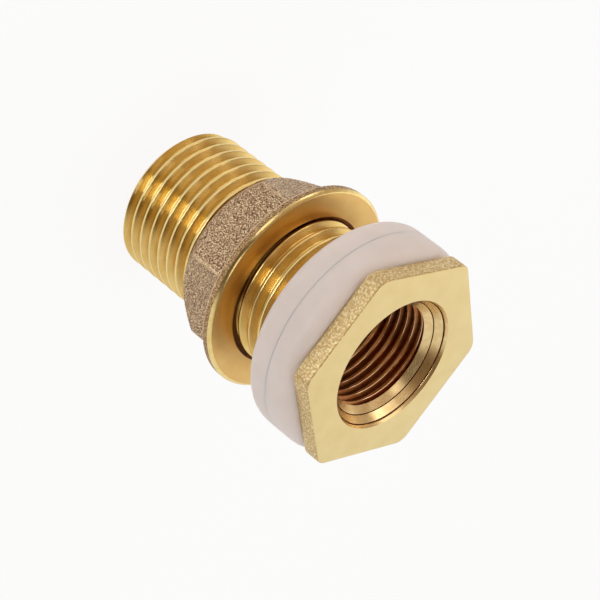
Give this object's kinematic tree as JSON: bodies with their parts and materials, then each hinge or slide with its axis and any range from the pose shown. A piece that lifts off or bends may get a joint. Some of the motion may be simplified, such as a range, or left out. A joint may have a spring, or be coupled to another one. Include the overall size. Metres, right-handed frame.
{
  "type": "tank connector",
  "caption": "Brass tank connector: hollow threaded shank with a thin hexagon head and female threaded mouth, stacked silicone sealing washers and a flanged hexagon nut that clamps a tank wall.",
  "frame": {"origin": "centre of the end face of the male thread, on which the part stands", "axes": "+Z along the fitting's axis towards the head; a corner of the head's hexagon lies on +X"},
  "size_m": [0.0306, 0.0306, 0.042],
  "materials": {
    "turned_brass": "turned, bright",
    "cast_brass": "cast and blasted, with turned faces",
    "silicone": "milky translucent, satin"
  },
  "bodies": {
    "connector": {"connector_body": "turned_brass"},
    "washers": {"inner_washer": "silicone", "outer_washer": "silicone"},
    "nut": {"flanged_nut": "cast_brass"}
  },
  "joints": [
    {"name": "nut_turn", "type": "hinge", "parent": "connector", "child": "washers", "pos_m": [0, 0, 0.028], "axis": [0, 0, 1], "range_deg": [-2813.7, 1442.5]},
    {"name": "nut_travel", "type": "slide", "parent": "washers", "child": "nut", "axis": [0, 0, 1], "range_m": [-0.0142, 0.00727]}
  ],
  "couplings": [
    {"joint": "nut_travel", "follows": "nut_turn", "m_per_rad": 0.00028875}
  ]
}
